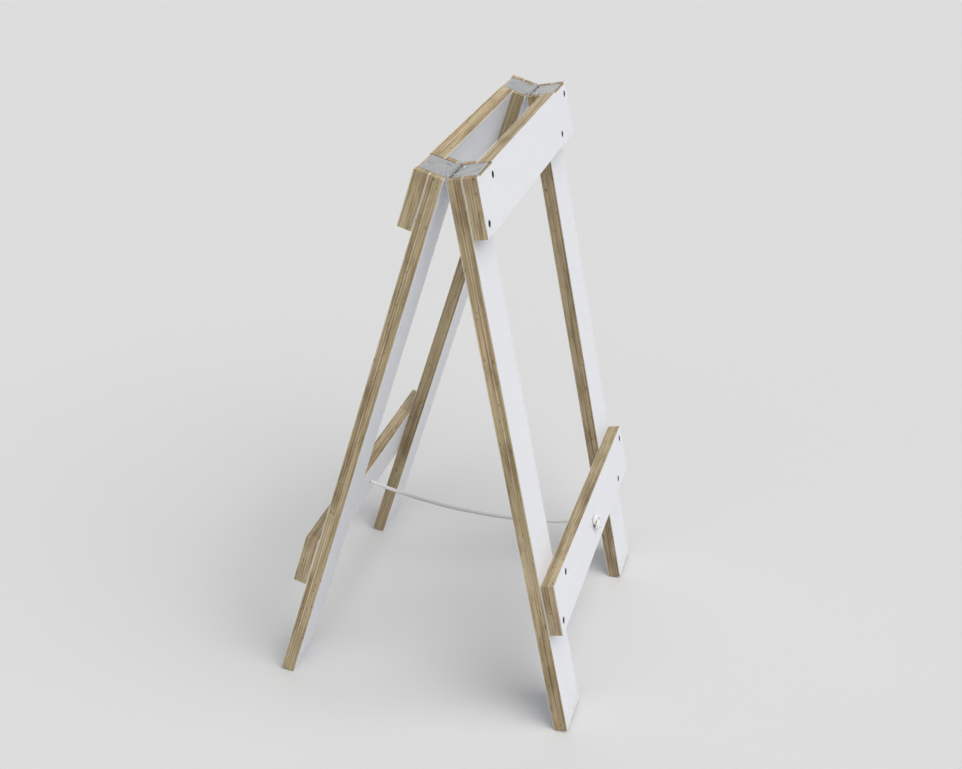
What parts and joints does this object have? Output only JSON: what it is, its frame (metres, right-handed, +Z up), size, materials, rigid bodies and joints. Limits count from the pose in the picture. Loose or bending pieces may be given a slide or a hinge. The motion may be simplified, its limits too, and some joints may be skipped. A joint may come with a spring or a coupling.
{
  "type": "folding sawhorse",
  "caption": "A-frame sawhorse of white-laminated plywood: two boarded frames hinged along their top edges and held open by a knotted cord.",
  "frame": {"origin": "on the floor, at the middle of the footprint, under the hinge axis", "axes": "+Z up, Y along the rails, +X from frame A to frame B"},
  "size_m": [0.398, 0.445, 0.7317],
  "materials": {
    "laminated_plywood": "satin white laminate on both faces, bare layered birch plywood edges",
    "black_screw": "black phosphate, satin",
    "zinc_steel": "bright zinc plate",
    "white_cord": "matt braided polyester"
  },
  "bodies": {
    "frame_a": {"leg_a_near": "laminated_plywood", "leg_a_far": "laminated_plywood", "top_rail_a": "laminated_plywood", "lower_rail_a": "laminated_plywood", "screw_top_a_near_high": "black_screw", "screw_top_a_near_low": "black_screw", "screw_top_a_far_high": "black_screw", "screw_top_a_far_low": "black_screw", "screw_lower_a_near_high": "black_screw", "screw_lower_a_near_low": "black_screw", "screw_lower_a_far_high": "black_screw", "screw_lower_a_far_low": "black_screw", "hinge_leaf_a_near": "zinc_steel", "hinge_leaf_a_far": "zinc_steel", "hinge_pin_near": "zinc_steel", "hinge_pin_far": "zinc_steel", "hinge_screw_a_near_1": "zinc_steel", "hinge_screw_a_near_2": "zinc_steel", "hinge_screw_a_near_3": "zinc_steel", "hinge_screw_a_far_1": "zinc_steel", "hinge_screw_a_far_2": "zinc_steel", "hinge_screw_a_far_3": "zinc_steel", "cord_knot_a": "white_cord"},
    "frame_b": {"leg_b_near": "laminated_plywood", "leg_b_far": "laminated_plywood", "top_rail_b": "laminated_plywood", "lower_rail_b": "laminated_plywood", "screw_top_b_near_high": "black_screw", "screw_top_b_near_low": "black_screw", "screw_top_b_far_high": "black_screw", "screw_top_b_far_low": "black_screw", "screw_lower_b_near_high": "black_screw", "screw_lower_b_near_low": "black_screw", "screw_lower_b_far_high": "black_screw", "screw_lower_b_far_low": "black_screw", "hinge_leaf_b_near": "zinc_steel", "hinge_leaf_b_far": "zinc_steel", "hinge_screw_b_near_1": "zinc_steel", "hinge_screw_b_near_2": "zinc_steel", "hinge_screw_b_near_3": "zinc_steel", "hinge_screw_b_far_1": "zinc_steel", "hinge_screw_b_far_2": "zinc_steel", "hinge_screw_b_far_3": "zinc_steel", "cord_knot_b": "white_cord"},
    "cord_a": {"cord_half_a": "white_cord"},
    "cord_b": {"cord_half_b": "white_cord"}
  },
  "joints": [
    {"name": "fold", "type": "hinge", "parent": "frame_a", "child": "frame_b", "pos_m": [0, 0, 0.72379], "axis": [0, 1, 0], "range_deg": [0, 28]},
    {"name": "cord_a_swing", "type": "hinge", "parent": "frame_a", "child": "cord_a", "pos_m": [-0.15207, 0, 0.18127], "axis": [0, 1, 0], "range_deg": [0, 91.5], "deforming": ["cord_half_a"]},
    {"name": "cord_b_swing", "type": "hinge", "parent": "frame_b", "child": "cord_b", "pos_m": [0.15207, 0, 0.18127], "axis": [0, 1, 0], "range_deg": [-91.5, 0], "deforming": ["cord_half_b"]}
  ],
  "couplings": [
    {"joint": "cord_a_swing", "follows": "fold", "ratio": 3.265},
    {"joint": "cord_b_swing", "follows": "fold", "ratio": -3.265}
  ]
}
